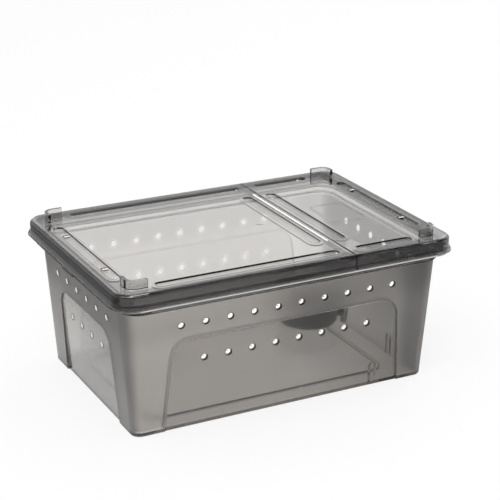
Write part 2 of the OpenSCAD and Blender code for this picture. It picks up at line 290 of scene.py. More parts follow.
lidShape = {
    "Half Length": 130 * mm,
    "Half Width": 90 * mm,
    "Corner Radius": 15 * mm,
    "Plate Low": 105.6 * mm,
    "Lug Low": 109.0 * mm,
    "Tab High": 97.9 * mm,
    "Foot Middle": 98.0 * mm,   # the lower edge of the skirt
    "Foot Half": 0.4 * mm,
    "Foot Soft": 0.2 * mm,
    "Skirt Inset": 4.4 * mm,
    "Skirt Low": 99.4 * mm,
    "Skirt High": 108.3 * mm,
    "Skirt Soft": 0.8 * mm,
    "Band Middle": 8.3 * mm,    # the border between the skirt and the grooves
    "Band Half": 2.7 * mm,
    "Band Left Middle": 11.5 * mm,
    "Band Left Half": 2.2 * mm,
    "Band Soft": 0.7 * mm,
    "Band Inset": 5 * mm,
    "Edge Inset": 6 * mm,       # the outermost strip at the back and at the right
    "Far Back Middle": 11.2 * mm,
    "Far Back Half": 4.0 * mm,
    "Far Right Middle": 16.0 * mm,
    "Far Right Half": 3.6 * mm,
    "Far Soft": 0.6 * mm,
    "Far Inset": 6.8 * mm,
    "Groove Main": 34.9 * mm,   # the grooves across the lids on either side of the seam
    "Groove Feeding": 54.5 * mm,
    "Groove Left": 13.9 * mm,
    "Groove Half": 3.7 * mm,
    "Groove Soft": 0.3 * mm,
    "Groove High": 108.0 * mm,
    "Groove Reach": 56 * mm,
    "Seam Middle": 46.5 * mm,
    "Seam Half": 0.7 * mm,
    "Seam Soft": 0.2 * mm,
}


def makeLidZones():
    # painted shade: the parts of a lid that look darker than its plate, and the dark gap at the
    # seam
    group, get = startGroup("lidShadeZones", lidShape, (
        "Foot", "Skirt", "Side", "Band", "Edge", "Far", "Cross", "Seam", "Lug", "Tab"))
    right, back, z = axes(group, get["Position"])
    x, y = absolute(group, right), absolute(group, back)
    inset = insetFrom(group, x, y, get["Half Length"], get["Half Width"], get["Corner Radius"])
    backInset = minus(group, get["Half Width"], back)
    rightInset = minus(group, get["Half Length"], right)
    leftInset = plus(group, get["Half Length"], right)

    def strip(value, name, soft):
        return within(group, value, get[name + " Middle"], get[name + " Half"], get[soft + " Soft"])

    def groove(value, name):
        return within(group, value, get["Groove " + name], get["Groove Half"], get["Groove Soft"])

    nearEdge = below(group, inset, get["Skirt Inset"])
    upward = ramp(group, z, minus(group, get["Skirt Low"], get["Skirt Soft"]),
                  plus(group, get["Skirt Low"], get["Skirt Soft"]))
    skirt = times(group, nearEdge, upward, below(group, z, get["Skirt High"]))
    end = minus(group, get["Half Length"], get["Skirt Inset"])
    plate = above(group, z, get["Plate Low"])
    lug = above(group, z, get["Lug Low"])
    flat = times(group, plate, minus(group, 1.0, lug))
    band = larger(group, strip(inset, "Band", "Band"), strip(leftInset, "Band Left", "Band"))
    far = larger(group, strip(backInset, "Far Back", "Far"), strip(rightInset, "Far Right", "Far"))
    outer = calc(group, "MINIMUM", backInset, rightInset)
    grooves = larger(group, larger(group, groove(right, "Main"), groove(right, "Feeding")),
                     groove(leftInset, "Left"))
    return endGroup(group, {
        "Foot": times(group, nearEdge, strip(z, "Foot", "Foot")),
        "Skirt": skirt,
        "Side": times(group, skirt, above(group, x, end)),
        "Band": times(group, flat, band, above(group, inset, get["Band Inset"])),
        "Edge": times(group, flat, below(group, outer, get["Edge Inset"])),
        "Far": times(group, flat, far, above(group, inset, get["Far Inset"])),
        "Cross": times(group, grooves, plate, below(group, z, get["Groove High"]),
                       below(group, y, get["Groove Reach"])),
        "Seam": strip(right, "Seam", "Seam"),
        "Lug": lug,
        "Tab": times(group, below(group, z, get["Tab High"]), nearEdge),
    })


panelShape = {
    "Centre X": 80 * mm,
    "Centre Y": -5 * mm,
    "Half Length": 13.5 * mm,
    "Half Width": 19 * mm,
    "Corner Radius": 4 * mm,
    "Line": 0.4 * mm,
}


def makePanelOutline():
    # the faint line round a bare rounded panel on the feeding lid, a small recess with painted
    # shade in it
    group, get = startGroup("panelOutline", panelShape, ("Height", "Outline"))
    x, y = axes(group, get["Position"])[:2]
    inset = insetFrom(group, absolute(group, minus(group, x, get["Centre X"])),
                      absolute(group, minus(group, y, get["Centre Y"])),
                      get["Half Length"], get["Half Width"], get["Corner Radius"])
    line = ramp(group, absolute(group, inset), 0.0, get["Line"], 1.0, 0.0)
    return endGroup(group, {"Height": times(group, line, -1.0), "Outline": line})


haloShape = {
    "Pitch": 18.1 * mm,
    "Upper Height": 78.4 * mm,
    "Lower Height": 51 * mm,
    "Upper Reach": 90.5 * mm,
    "Lower Reach": 72.4 * mm,
    "Hole": 1.8 * mm,
    "Spread": 4.7 * mm,
}


def makeVentHalo():
    # painted glow: the wall paler around the punched vents
    group, get = startGroup("ventHalo", haloShape, ("Halo",))
    x, _, z = axes(group, get["Position"])
    halfPitch = times(group, get["Pitch"], 0.5)
    toVent = minus(group, halfPitch, calc(group, "PINGPONG", x, halfPitch))
    halos = []
    for row in ("Upper", "Lower"):
        away = hypotenuse(group, toVent, minus(group, z, get[row + " Height"]))
        halo = ramp(group, away, get["Hole"], get["Spread"], 1.0, 0.0)
        halos.append(times(group, halo, below(group, absolute(group, x), get[row + " Reach"])))
    return endGroup(group, {"Halo": larger(group, *halos)})


windowMask = makeWindowMask()
ventHalo = makeVentHalo()
lidShadeZones = makeLidZones()
panelOutline = makePanelOutline()
handlingMarks = makeHandlingMarks()
mouldSkin = makeMouldSkin()


def startMaterial(name):
    material = bpy.data.materials.new(name)
    material.use_nodes = True
    tree = material.node_tree
    return material, tree, addNode(tree, "ShaderNodeTexCoord").outputs["Object"]


def endMaterial(tree, look, colour, rough, skin, height):
    # what every plastic has: a tint broken up by its skin, gloss, bump, and depth if it is clear
    shader = tree.nodes["Principled BSDF"]
    feed(tree, shader.inputs["Base Color"],
         blendColour(tree, 1.0, colour, skin["Tint"], "MULTIPLY"))
    feed(tree, shader.inputs["Roughness"], rough)
    for label, value in look["shader"].items():
        feed(tree, shader.inputs[label], value)
    bump = addNode(tree, "ShaderNodeBump")
    for label, value in look["bump"].items():
        feed(tree, bump.inputs[label], value)
    feed(tree, bump.inputs["Height"], height)
    feed(tree, shader.inputs["Normal"], bump.outputs[0])
    if "depth" in look:
        absorb = addNode(tree, "ShaderNodeVolumeAbsorption")
        for label, value in look["depth"].items():
            feed(tree, absorb.inputs[label], value)
        feed(tree, tree.nodes["Material Output"].inputs["Volume"], absorb.outputs[0])


def grey(level):
    return (level, level, level, 1)


tubLook = {
    "tint": (0.690, 0.671, 0.652, 1),
    "frameTint": (0.90, 0.879, 0.858, 1),
    # painted shade: the walls darker towards the rim, under the lids
    "upperShadeTint": (0.64, 0.624, 0.608, 1),    # the walls look darker towards the rim
    "upperShadeRange": (58 * mm, 80 * mm),
    # painted shade on the end walls, window and frame
    "shortShadeTint": (0.66, 0.67, 0.68, 1),      # the end walls, seen at a slant
    "shortFrameShade": (0.49, 0.50, 0.51, 1),
    # painted shade on the corner columns at the feeding end, where the studio is darker
    "cornerShadeTint": grey(0.84),                # the corner columns at the feeding end
    "cornerShadeRange": (84 * mm, 100 * mm),
    # painted shade under the lids on the neck, lighter on the far walls
    "neckShadeTint": (0.60, 0.592, 0.584, 1),
    "farNeckShadeTint": (0.69, 0.675, 0.66, 1),
    "neckShadeRange": (91.2 * mm, 91.8 * mm),
    "farBack": (50 * mm, 60 * mm),           # where the back wall and the feeding end's wall begin
    "farRight": (100 * mm, 110 * mm),
    # painted glow round the back wall's vents
    "paintedHaloTint": (0.97, 0.97, 0.96, 1),
    # painted shade: the dark line round each window, fainter on the far walls
    "outlineShadeTint": (0.40, 0.392, 0.385, 1),
    "farOutlineLoss": 0.65,
    # painted shade inside the lids on the collar above the flange
    "rimShadeTint": (0.50, 0.494, 0.488, 1),      # the collar is darker above the flange
    "rimShadeRange": (97.0 * mm, 98.0 * mm),
    # painted shadow under the flange, where the wall turns out into the rim
    "footTint": (0.24, 0.236, 0.232, 1),     # the line where the wall turns out into the rim
    "footMiddle": 92.9 * mm,
    "footHalf": 1.0 * mm,
    "flangeTint": (0.30, 0.295, 0.29, 1),    # the flange's upper edge, in the lids' shade
    "flangeMiddle": 97.6 * mm,
    "flangeHalf": 0.4 * mm,
    "lineSoft": 0.3 * mm,
    "floorTop": 3.4 * mm,
    "floorRough": 0.22,
    # painted shade: the dark line at the edge of the floor's raised middle
    "stepShadeTint": (0.30, 0.295, 0.29, 1),      # the edge of the floor's raised middle
    "stepShift": -1.7 * mm,
    "stepOutline": (94.8 * mm, 56.5 * mm, 12 * mm),
    "stepHalf": 0.5 * mm,
    "stepSoft": 0.2 * mm,
    "windowRough": 0.04,
    "frameRough": 0.34,
    "rimRough": 0.08,
    "marks": {"Smudge Size": 24.0, "Smudge": 0.03, "Scratch": 0.05},
    "marksHeight": 0.2,
    "skin": {"Wave Size": 38.0, "Grain Size": 1400.0, "Tint Change": 0.06},
    "frameGrain": 0.12,
    "shader": {"Transmission Weight": 1.0, "IOR": 1.49},
    "bump": {"Strength": 0.25, "Distance": 0.4 * mm},
    "depth": {"Color": (0.64, 0.615, 0.59, 1), "Density": 120},
}


def makeSmokyPlastic():
    look = tubLook
    material, tree, position = startMaterial("smokyPlastic")
    x, y, z = axes(tree, position)
    mask = placeGroup(tree, windowMask, position)
    halo = placeGroup(tree, ventHalo, position)
    marks = placeGroup(tree, handlingMarks, position, look["marks"])
    grain = times(tree, mask["Frame"], look["frameGrain"])
    skin = placeGroup(tree, mouldSkin, position, {**look["skin"], "Grain": grain})
    onWall = larger(tree, mask["Frame"], mask["Window"])
    onFloor = times(tree, minus(tree, 1.0, onWall), below(tree, z, look["floorTop"]))
    backward = ramp(tree, y, *look["farBack"])
    distant = larger(tree, backward, ramp(tree, x, *look["farRight"]))
    near = minus(tree, 1.0, distant)

    rough = blendValue(tree, mask["Window"], look["rimRough"], look["windowRough"])
    rough = blendValue(tree, mask["Frame"], rough, look["frameRough"])
    rough = plus(tree, blendValue(tree, onFloor, rough, look["floorRough"]), marks["Roughness"])

    # painted shade on the feeding end's corner columns
    corner = ramp(tree, x, *look["cornerShadeRange"])
    # painted shade on the frame towards the rim, under the lids
    frameTint = blendColour(tree, ramp(tree, z, *look["upperShadeRange"]), look["frameTint"],
                            look["upperShadeTint"])
    frameTint = blendColour(tree, corner, frameTint, look["cornerShadeTint"], "MULTIPLY")
    # painted shade on the end walls
    shortWallShade = blendColour(tree, mask["Frame"], look["shortShadeTint"], look["shortFrameShade"])
    tint = blendColour(tree, mask["Frame"], look["tint"], frameTint)
    tint = blendColour(tree, mask["Short Wall"], tint, shortWallShade, "MULTIPLY")
    # painted glow round the vents, on the back wall only
    tint = blendColour(tree, times(tree, halo["Halo"], backward), tint, look["paintedHaloTint"])
    # painted shade in the windows' outlines, fainter on the far walls
    fading = minus(tree, 1.0, times(tree, distant, look["farOutlineLoss"]))
    tint = blendColour(tree, times(tree, mask["Outline"], fading), tint, look["outlineShadeTint"])

    # painted shade along the edge of the floor's raised middle
    floorX = absolute(tree, minus(tree, x, look["stepShift"]))
    stepInset = insetFrom(tree, floorX, absolute(tree, y), *look["stepOutline"])
    step = within(tree, stepInset, 0.0, look["stepHalf"], look["stepSoft"])
    tint = blendColour(tree, times(tree, step, onFloor), tint, look["stepShadeTint"])
    # painted shade under and inside the lids, on the neck and the collar
    neckShadeTint = blendColour(tree, distant, look["neckShadeTint"], look["farNeckShadeTint"])
    tint = blendColour(tree, ramp(tree, z, *look["neckShadeRange"]), tint, neckShadeTint)
    tint = blendColour(tree, ramp(tree, z, *look["rimShadeRange"]), tint, look["rimShadeTint"])
    # painted shadow at the wall's foot under the flange and painted shade along the flange's upper
    # edge, on the near walls only
    for part in ("foot", "flange"):
        line = within(tree, z, look[part + "Middle"], look[part + "Half"], look["lineSoft"])
        tint = blendColour(tree, times(tree, line, near), tint, look[part + "Tint"])

    height = plus(tree, skin["Height"], times(tree, marks["Height"], look["marksHeight"]))
    endMaterial(tree, look, tint, rough, skin, height)
    return material


lidLook = {
    "tint": (0.885, 0.881, 0.873, 1),
    # painted shade over the plate's tint, and the seam's dark gap
    "shadeZones": {          # in this order, each over the one before
        "Foot": grey(0.40),
        "Band": grey(0.44),
        "Edge": grey(0.36),
        "Far": grey(0.13),
        "Cross": (0.66, 0.66, 0.655, 1),
        "Skirt": (0.235, 0.231, 0.233, 1),
        "Side": (0.055, 0.054, 0.055, 1),
        "Lug": grey(0.60),
        "Tab": (0.10, 0.085, 0.08, 1),
        "Seam": grey(0.06),
    },
    # painted shade in the panel's outline
    "panelShadeTint": grey(0.72),
    "rough": 0.03,
    "marks": {"Smudge Size": 18.0, "Smudge": 0.04, "Scratch": 0.06},
    "marksHeight": 0.15,
    "skin": {"Wave Size": 26.0, "Grain Size": 900.0, "Grain": 0.0, "Tint Change": 0.04},
    "shader": {"Transmission Weight": 1.0, "IOR": 1.49},
    "bump": {"Strength": 0.2, "Distance": 0.4 * mm},
    "depth": {"Color": (0.70, 0.69, 0.68, 1), "Density": 100},
}


def makeLidPlastic():
    look = lidLook
    material, tree, position = startMaterial("lidPlastic")
    marks = placeGroup(tree, handlingMarks, position, look["marks"])
    skin = placeGroup(tree, mouldSkin, position, look["skin"])
    shadeZones = placeGroup(tree, lidShadeZones, position)
    panel = placeGroup(tree, panelOutline, position)
    tint = look["tint"]
    # painted shade, zone by zone, over the plate's tint
    for zone, zoneTint in look["shadeZones"].items():
        tint = blendColour(tree, shadeZones[zone], tint, zoneTint)
    # painted shade in the panel's outline
    tint = blendColour(tree, panel["Outline"], tint, look["panelShadeTint"], "MULTIPLY")
    height = plus(tree, skin["Height"], times(tree, marks["Height"], look["marksHeight"]))
    endMaterial(tree, look, tint, plus(tree, look["rough"], marks["Roughness"]), skin,
                plus(tree, height, panel["Height"]))
    return material


dishLook = {
    "colour": (0.012, 0.012, 0.013, 1),
    "wornColour": (0.03, 0.03, 0.031, 1),
    "rough": 0.16,
    "marks": {"Smudge Size": 60.0, "Smudge": 0.14, "Scratch": 0.12},
    "marksHeight": 0.3,
    "skin": {"Wave Size": 90.0, "Grain Size": 2200.0, "Grain": 0.15, "Tint Change": 0.2},
    "shader": {"IOR": 1.5, "Coat Roughness": 0.05, "Coat Weight": 0.35},
    "bump": {"Strength": 0.3, "Distance": 0.3 * mm},
}


def makeBlackPlastic():
    look = dishLook
    material, tree, position = startMaterial("blackPlastic")
    marks = placeGroup(tree, handlingMarks, position, look["marks"])
    skin = placeGroup(tree, mouldSkin, position, look["skin"])
    worn = blendColour(tree, marks["Roughness"], look["colour"], look["wornColour"])
    height = plus(tree, skin["Height"], times(tree, marks["Height"], look["marksHeight"]))
    endMaterial(tree, look, worn, plus(tree, look["rough"], marks["Roughness"]), skin, height)
    return material


highlightWhite = (0.93, 0.93, 0.92, 1)
highlightSkin = {"Wave Size": 300.0, "Grain Size": 5000.0, "Grain": 0.5, "Tint Change": 0.05}
trimLooks = {
    # painted highlight in matt white, at the vents' sleeves, the gate marks and the ribs' tops
    "paleHighlightPlastic": {
        "colour": highlightWhite,
        "rough": 0.45,
        "skin": highlightSkin,
        "shader": {"Emission Color": highlightWhite, "Emission Strength": 0.0},
        "bump": {"Strength": 0.2, "Distance": 0.1 * mm},
    },
    # the same with a painted glow, standing in for light that a cut edge passes on from the clear
    # wall
    "glowHighlightPlastic": {
        "colour": highlightWhite,
        "rough": 0.45,
        "skin": highlightSkin,
        "shader": {"Emission Color": highlightWhite, "Emission Strength": 0.75},
        "bump": {"Strength": 0.2, "Distance": 0.1 * mm},
    },
    # nearly black, painted shade: the punched wall of a vent seen edge on, the dark line at the
    # wall's foot under the rim, the ribs' dark sides and the vents' dark edges on the left wall;
    # also the seam's dark gap and the small tick
    "shadeBlackPlastic": {
        "colour": (0.022, 0.021, 0.020, 1),
        "rough": 0.22,
        "skin": {"Wave Size": 400.0, "Grain Size": 6000.0, "Grain": 0.6, "Tint Change": 0.3},
        "shader": {},
        "bump": {"Strength": 0.25, "Distance": 0.1 * mm},
    },
    # painted highlight: the flange's cut edge, which shows paler than the walls
    "flangeHighlight": {
        "colour": (0.78, 0.765, 0.75, 1),
        "rough": 0.25,
        "skin": {"Wave Size": 120.0, "Grain Size": 3000.0, "Grain": 0.3, "Tint Change": 0.15},
        "shader": {},
        "bump": {"Strength": 0.2, "Distance": 0.1 * mm},
    },
}


def makeTrimPlastic(name):
    look = trimLooks[name]
    material, tree, position = startMaterial(name)
    skin = placeGroup(tree, mouldSkin, position, look["skin"])
    endMaterial(tree, look, look["colour"], look["rough"], skin, skin["Height"])
    return material


smokyPlastic = makeSmokyPlastic()
lidPlastic = makeLidPlastic()
blackPlastic = makeBlackPlastic()
paleHighlightPlastic = makeTrimPlastic("paleHighlightPlastic")
glowHighlightPlastic = makeTrimPlastic("glowHighlightPlastic")
shadeBlackPlastic = makeTrimPlastic("shadeBlackPlastic")
flangeHighlight = makeTrimPlastic("flangeHighlight")
for node, material in (("tub", smokyPlastic), ("main_lid", lidPlastic),
                       ("feeding_lid", lidPlastic), ("feeding_dish", blackPlastic)):
    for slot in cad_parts[node].material_slots:
        slot.material = material
print("materials placed on", len(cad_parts), "moulded pieces")


def startRepeat(name, numbers):
    # starts a tree that puts one small shape on every point, turned as the point's "turn" says
    tree = bpy.data.node_groups.new(name, "GeometryNodeTree")
    tree.interface.new_socket(name="Geometry", in_out="INPUT", socket_type="NodeSocketGeometry")
    for label, default in numbers.items():
        kind = "NodeSocketInt" if isinstance(default, int) else "NodeSocketFloat"
        tree.interface.new_socket(name=label, in_out="INPUT",
                                  socket_type=kind).default_value = default
    tree.interface.new_socket(name="Material", in_out="INPUT", socket_type="NodeSocketMaterial")
    tree.interface.new_socket(name="Geometry", in_out="OUTPUT", socket_type="NodeSocketGeometry")
    return tree, addNode(tree, "NodeGroupInput").outputs


def endRepeat(tree, source, shape, lift):
    offset = addNode(tree, "ShaderNodeCombineXYZ")
    feed(tree, offset.inputs["Z"], lift)
    place = addNode(tree, "GeometryNodeTransform")
    feed(tree, place.inputs["Geometry"], shape)
    feed(tree, place.inputs["Translation"], offset.outputs[0])
    turn = addNode(tree, "GeometryNodeInputNamedAttribute", data_type="FLOAT_VECTOR")
    turn.inputs["Name"].default_value = "turn"
    spin = addNode(tree, "FunctionNodeEulerToRotation")
    feed(tree, spin.inputs[0], turn.outputs["Attribute"])
    copies = addNode(tree, "GeometryNodeInstanceOnPoints")
    feed(tree, copies.inputs["Points"], source["Geometry"])
    feed(tree, copies.inputs["Instance"], place.outputs[0])
    feed(tree, copies.inputs["Rotation"], spin.outputs[0])
    real = addNode(tree, "GeometryNodeRealizeInstances")
    feed(tree, real.inputs[0], copies.outputs[0])
    paint = addNode(tree, "GeometryNodeSetMaterial")
    feed(tree, paint.inputs["Geometry"], real.outputs[0])
    feed(tree, paint.inputs["Material"], source["Material"])
    result = addNode(tree, "NodeGroupOutput")
    feed(tree, result.inputs["Geometry"], paint.outputs[0])
    return tree


ventLook = {
    "pitch": 18.1 * mm,
    "lean": math.atan(windowShape["Lean"]),
    "rows": [       # holes, height, distance out of the wall's middle, whether on a long wall
        (10, 78.4 * mm, 79.2 * mm, True),
        (8, 51.0 * mm, 75.96 * mm, True),
        (6, 78.4 * mm, 119.2 * mm, False),
        (4, 51.0 * mm, 115.96 * mm, False),
    ],
    # front: a dark punched wall, painted shade, and a glowing white lip, a painted highlight,
    # shifted up and to the left so it leaves a dark crescent of painted shade at the lower right
    "bore": {"Inner Radius": 2.25 * mm, "Outer Radius": 2.56 * mm, "Height": 1.5 * mm,
             "Lift": 0.0, "Segments": 28},
    "lip": {"Inner Radius": 0.6 * mm, "Outer Radius": 1.9 * mm, "Height": 0.35 * mm,
            "Lift": -0.5 * mm, "Segments": 28},
    "lipHighlightShift": (-0.32 * mm, 0.32 * mm),
    # elsewhere: a white sleeve, a painted highlight, with a painted glow inside it at the back and
    # right, and on the left wall a thin dark edge of painted shade
    "sleeve": {"Inner Radius": 1.3 * mm, "Outer Radius": 2.57 * mm, "Height": 1.9 * mm,
               "Lift": 0.0, "Segments": 28},
    "inner": {"Inner Radius": 0.3 * mm, "Outer Radius": 2.35 * mm, "Height": 0.1 * mm,
              "Lift": -1.08 * mm, "Segments": 28},
    "edge": {"Inner Radius": 2.30 * mm, "Outer Radius": 2.56 * mm, "Height": 0.3 * mm,
             "Lift": 1.05 * mm, "Segments": 28},
}


def makeRingRepeat():
    tree, get = startRepeat("ringsOnPoints", ventLook["sleeve"])
    inner, outer = get["Inner Radius"], get["Outer Radius"]
    circle = addNode(tree, "GeometryNodeCurvePrimitiveCircle")
    feed(tree, circle.inputs["Resolution"], get["Segments"])
    feed(tree, circle.inputs["Radius"], times(tree, plus(tree, inner, outer), 0.5))
    section = addNode(tree, "GeometryNodeCurvePrimitiveQuadrilateral")
    feed(tree, section.inputs["Width"], minus(tree, outer, inner))
    feed(tree, section.inputs["Height"], get["Height"])
    sweep = addNode(tree, "GeometryNodeCurveToMesh")
    feed(tree, sweep.inputs["Curve"], circle.outputs[0])
    feed(tree, sweep.inputs["Profile Curve"], section.outputs[0])
    return endRepeat(tree, get, sweep.outputs[0], get["Lift"])


markLook = {
    # small domes left by ejector pins and gates on the grooves' floors, places in mm
    "mainPips": [(-116.1, 57.5), (-116.1, -53.0), (38.0, 76.1), (37.6, -76.1)],
    "feedingPips": [(76.4, -76.1), (91.4, 76.1), (113.2, 56.2), (53.2, 46.2)],
    "pipHeight": 107.6 * mm,
    "pip": {"Radius": 0.75 * mm, "Flatness": 0.6, "Lift": 0.0, "Segments": 16, "Rings": 8},
    # the thin tick beside the middle of the main lid
    "tickPlace": (16.1 * mm, -3.7 * mm, 108.82 * mm, 0, 0, math.radians(-26)),
    "tick": {"Length": 5.0 * mm, "Width": 0.5 * mm, "Height": 0.1 * mm, "Lift": 0.0},
    # a painted highlight along the seam, a pale line that glows a little, and the dark gap beside
    # it
    "linePlace": (43.0 * mm, 2.0 * mm, 108.82 * mm, 0, 0, math.pi / 2),
    "line": {"Length": 112.0 * mm, "Width": 0.9 * mm, "Height": 0.06 * mm, "Lift": 0.0},
    "gapPlace": (45.95 * mm, 0.0, 108.82 * mm, 0, 0, math.pi / 2),
    "gap": {"Length": 172.0 * mm, "Width": 0.38 * mm, "Height": 0.06 * mm, "Lift": 0.0},
    # painted light on the small ribs across the end grooves: a pale top, a painted highlight, and a
    # dark side, painted shade
    "ribX": 116.1 * mm,
    "ribY": 35.0 * mm,
    "ribTop": 108.5 * mm,
    "ribHighlightShift": -0.1 * mm,
    "ribShadeShift": 1.3 * mm,
    "ribHighlight": {"Length": 4.2 * mm, "Width": 1.3 * mm, "Height": 0.12 * mm, "Lift": 0.1 * mm},
    "ribShade": {"Length": 4.6 * mm, "Width": 1.2 * mm, "Height": 0.9 * mm, "Lift": -0.16 * mm},
}


def makeDomeRepeat():
    tree, get = startRepeat("domesOnPoints", markLook["pip"])
    ball = addNode(tree, "GeometryNodeMeshUVSphere")
    for name in ("Segments", "Rings", "Radius"):
        feed(tree, ball.inputs[name], get[name])
    squeeze = addNode(tree, "ShaderNodeCombineXYZ")
    for name, share in (("X", 1), ("Y", 1), ("Z", get["Flatness"])):
        feed(tree, squeeze.inputs[name], share)
    flat = addNode(tree, "GeometryNodeTransform")
    feed(tree, flat.inputs["Geometry"], ball.outputs["Mesh"])
    feed(tree, flat.inputs["Scale"], squeeze.outputs[0])
    return endRepeat(tree, get, flat.outputs[0], get["Lift"])


def makeBarRepeat():
    tree, get = startRepeat("barsOnPoints", markLook["line"])
    size = addNode(tree, "ShaderNodeCombineXYZ")
    for name, socket in (("Length", "X"), ("Width", "Y"), ("Height", "Z")):
        feed(tree, size.inputs[socket], get[name])
    bar = addNode(tree, "GeometryNodeMeshCube")
    feed(tree, bar.inputs["Size"], size.outputs[0])
    return endRepeat(tree, get, bar.outputs["Mesh"], get["Lift"])


def bakeRepeat(name, tree, places, values, material, body):
    # places: one (x, y, z, turn about x, y, z) for each copy; the result is a plain mesh
    mesh = bpy.data.meshes.new(name + "Points")
    mesh.from_pydata([place[:3] for place in places], [], [])
    turns = mesh.attributes.new("turn", "FLOAT_VECTOR", "POINT")
    turns.data.foreach_set("vector", [angle for place in places for angle in place[3:]])
    source = bpy.data.objects.new(name + "Source", mesh)
    bpy.context.scene.collection.objects.link(source)
    modifier = source.modifiers.new("repeat", "NODES")
    modifier.node_group = tree
    values = {**values, "Material": material}
    for item in tree.interface.items_tree:
        if item.item_type == "SOCKET" and item.in_out == "INPUT" and item.name in values:
            modifier[item.identifier] = values[item.name]
    bpy.context.view_layer.update()
    shown = source.evaluated_get(bpy.context.evaluated_depsgraph_get())
    baked = bpy.data.meshes.new_from_object(shown)
    source.modifiers.clear()
    bpy.data.objects.remove(source)
    piece = bpy.data.objects.new(name, baked)
    bpy.context.scene.collection.objects.link(piece)
    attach(piece, body)


def ventPlaces(walls, shift):
    places = []
    quarter = math.pi / 2 + ventLook["lean"]
    for count, height, out, onLong in ventLook["rows"]:
        for index in range(count):
            along = (index - (count - 1) / 2) * ventLook["pitch"] + shift[0]
            up = height + shift[1]
            if onLong:
                options = {"front": (along, -out, up, quarter, 0, 0),
                           "back": (along, out, up, -quarter, 0, 0)}
            else:
                options = {"left": (-out, along, up, 0, -quarter, 0),
                           "right": (out, along, up, 0, quarter, 0)}
            places.extend(options[wall] for wall in walls if wall in options)
    return places


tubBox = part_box("tub")
print("tub box", tubBox)
rimLines = {
    # thin bands round the tub under the lids, a painted highlight on the flange and a painted
    # shadow line at the wall's foot: low, high, half length, half width, corner radius
    "rimHighlight": (96.22 * mm, 97.1 * mm, tubBox[1][0], tubBox[1][1], 15.2 * mm),
    "rimShadow": (92.0 * mm, 93.5 * mm, 122.84 * mm, 82.84 * mm, 15.54 * mm),
    "thickness": 0.12 * mm,
    "cornerSteps": 12,
}


def makeRimLine(name, material):
    low, high, length, width, radius = rimLines[name]
    points = []
    for offset in (-rimLines["thickness"] / 2, rimLines["thickness"] / 2):
        for signX, signY, start in ((1, 1, 0), (-1, 1, 90), (-1, -1, 180), (1, -1, 270)):
            for step in range(rimLines["cornerSteps"] + 1):
                angle = math.radians(start + 90 * step / rimLines["cornerSteps"])
                points.append((signX * (length - radius) + (radius + offset) * math.cos(angle),
                               signY * (width - radius) + (radius + offset) * math.sin(angle)))
    count = len(points) // 2
    vertices = [(x, y, z) for z in (low, high) for x, y in points]
    faces = []
    for index in range(count):
        after = (index + 1) % count
        inLow, inNext, outLow, outNext = index, after, count + index, count + after
        inHigh, inHighNext = inLow + 2 * count, inNext + 2 * count
        outHigh, outHighNext = outLow + 2 * count, outNext + 2 * count
        faces += [(outLow, outNext, outHighNext, outHigh), (inNext, inLow, inHigh, inHighNext),
                  (outHigh, outHighNext, inHighNext, inHigh), (outNext, outLow, inLow, inNext)]
    mesh = bpy.data.meshes.new(name)
    mesh.from_pydata(vertices, [], faces)
    mesh.materials.append(material)
    piece = bpy.data.objects.new("tub." + name, mesh)
    bpy.context.scene.collection.objects.link(piece)
    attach(piece, "tub")


# a painted highlight on the flange's edge and a painted shadow line at the wall's foot
makeRimLine("rimHighlight", flangeHighlight)
makeRimLine("rimShadow", shadeBlackPlastic)


def lidMarks(name, pips, ribSide):
    places = [(x * mm, y * mm, markLook["pipHeight"], 0, 0, 0) for x, y in pips]
    bakeRepeat(name + ".pips", domes, places, markLook["pip"], paleHighlightPlastic, name)
    # painted highlight on the ribs' tops and painted shade on their sides
    for part, form, material in (("ribHighlights", "ribHighlight", paleHighlightPlastic),
                                 ("ribShades", "ribShade", shadeBlackPlastic)):
        places = [(ribSide * markLook["ribX"], side * markLook["ribY"] + markLook[form + "Shift"],
                   markLook["ribTop"], 0, 0, 0) for side in (-1, 1)]
        bakeRepeat(name + "." + part, bars, places, markLook[form], material, name)


rings = makeRingRepeat()
domes = makeDomeRepeat()
bars = makeBarRepeat()
# painted shade, highlights and glow in the vents
for label, walls, form, shift, material in (
        ("Bores", ("front",), "bore", (0, 0), shadeBlackPlastic),
        ("Lips", ("front",), "lip", ventLook["lipHighlightShift"], glowHighlightPlastic),
        ("Sleeves", ("back", "left", "right"), "sleeve", (0, 0), paleHighlightPlastic),
        ("Inner", ("back", "right"), "inner", (0, 0), glowHighlightPlastic),
        ("Edges", ("left",), "edge", (0, 0), shadeBlackPlastic)):
    bakeRepeat("tub.vent" + label, rings, ventPlaces(walls, shift), ventLook[form], material,
               "tub")
lidMarks("main_lid", markLook["mainPips"], -1)
lidMarks("feeding_lid", markLook["feedingPips"], 1)
# a painted highlight along the seam, the dark gap beside it and a small dark tick
for label, form, material in (("tick", "tick", shadeBlackPlastic), ("seamHighlight", "line", glowHighlightPlastic),
                              ("seamEdge", "gap", shadeBlackPlastic)):
    bakeRepeat("main_lid." + label, bars, [markLook[form + "Place"]], markLook[form], material,
               "main_lid")
print("vents and moulding marks placed")


floorLook = {
    "size": 8.0,
    "grey": grey(0.17),
    "glow": 0.80,          # what the camera sees of the floor's own white
    "plainGlow": 0.80,     # what lights matt surfaces
    "glassGlow": 1.0,      # what is seen of it through the plastic
    "shadeGlow": 0.49,     # the same to the right of the box, where the studio is darker
    "underGlow": 0.75,     # the share of it that is left in the box's own shadow
    "underLength": 118 * mm,
    "underWidth": 78 * mm,
    "underRange": (-8 * mm, 12 * mm),
    "shadeSlant": 0.6,
    "shadeRange": (60 * mm, 170 * mm),
    "glossGlow": 0.9,      # what gloss mirrors of it
    "leftGloss": 0.12,
    "leftRange": (-130 * mm, -170 * mm),
    "rightGloss": 0.35,
    "rightRange": (0.0, 150 * mm),
    "drop": 0.4 * mm,      # keeps it clear of the tub's foot
}


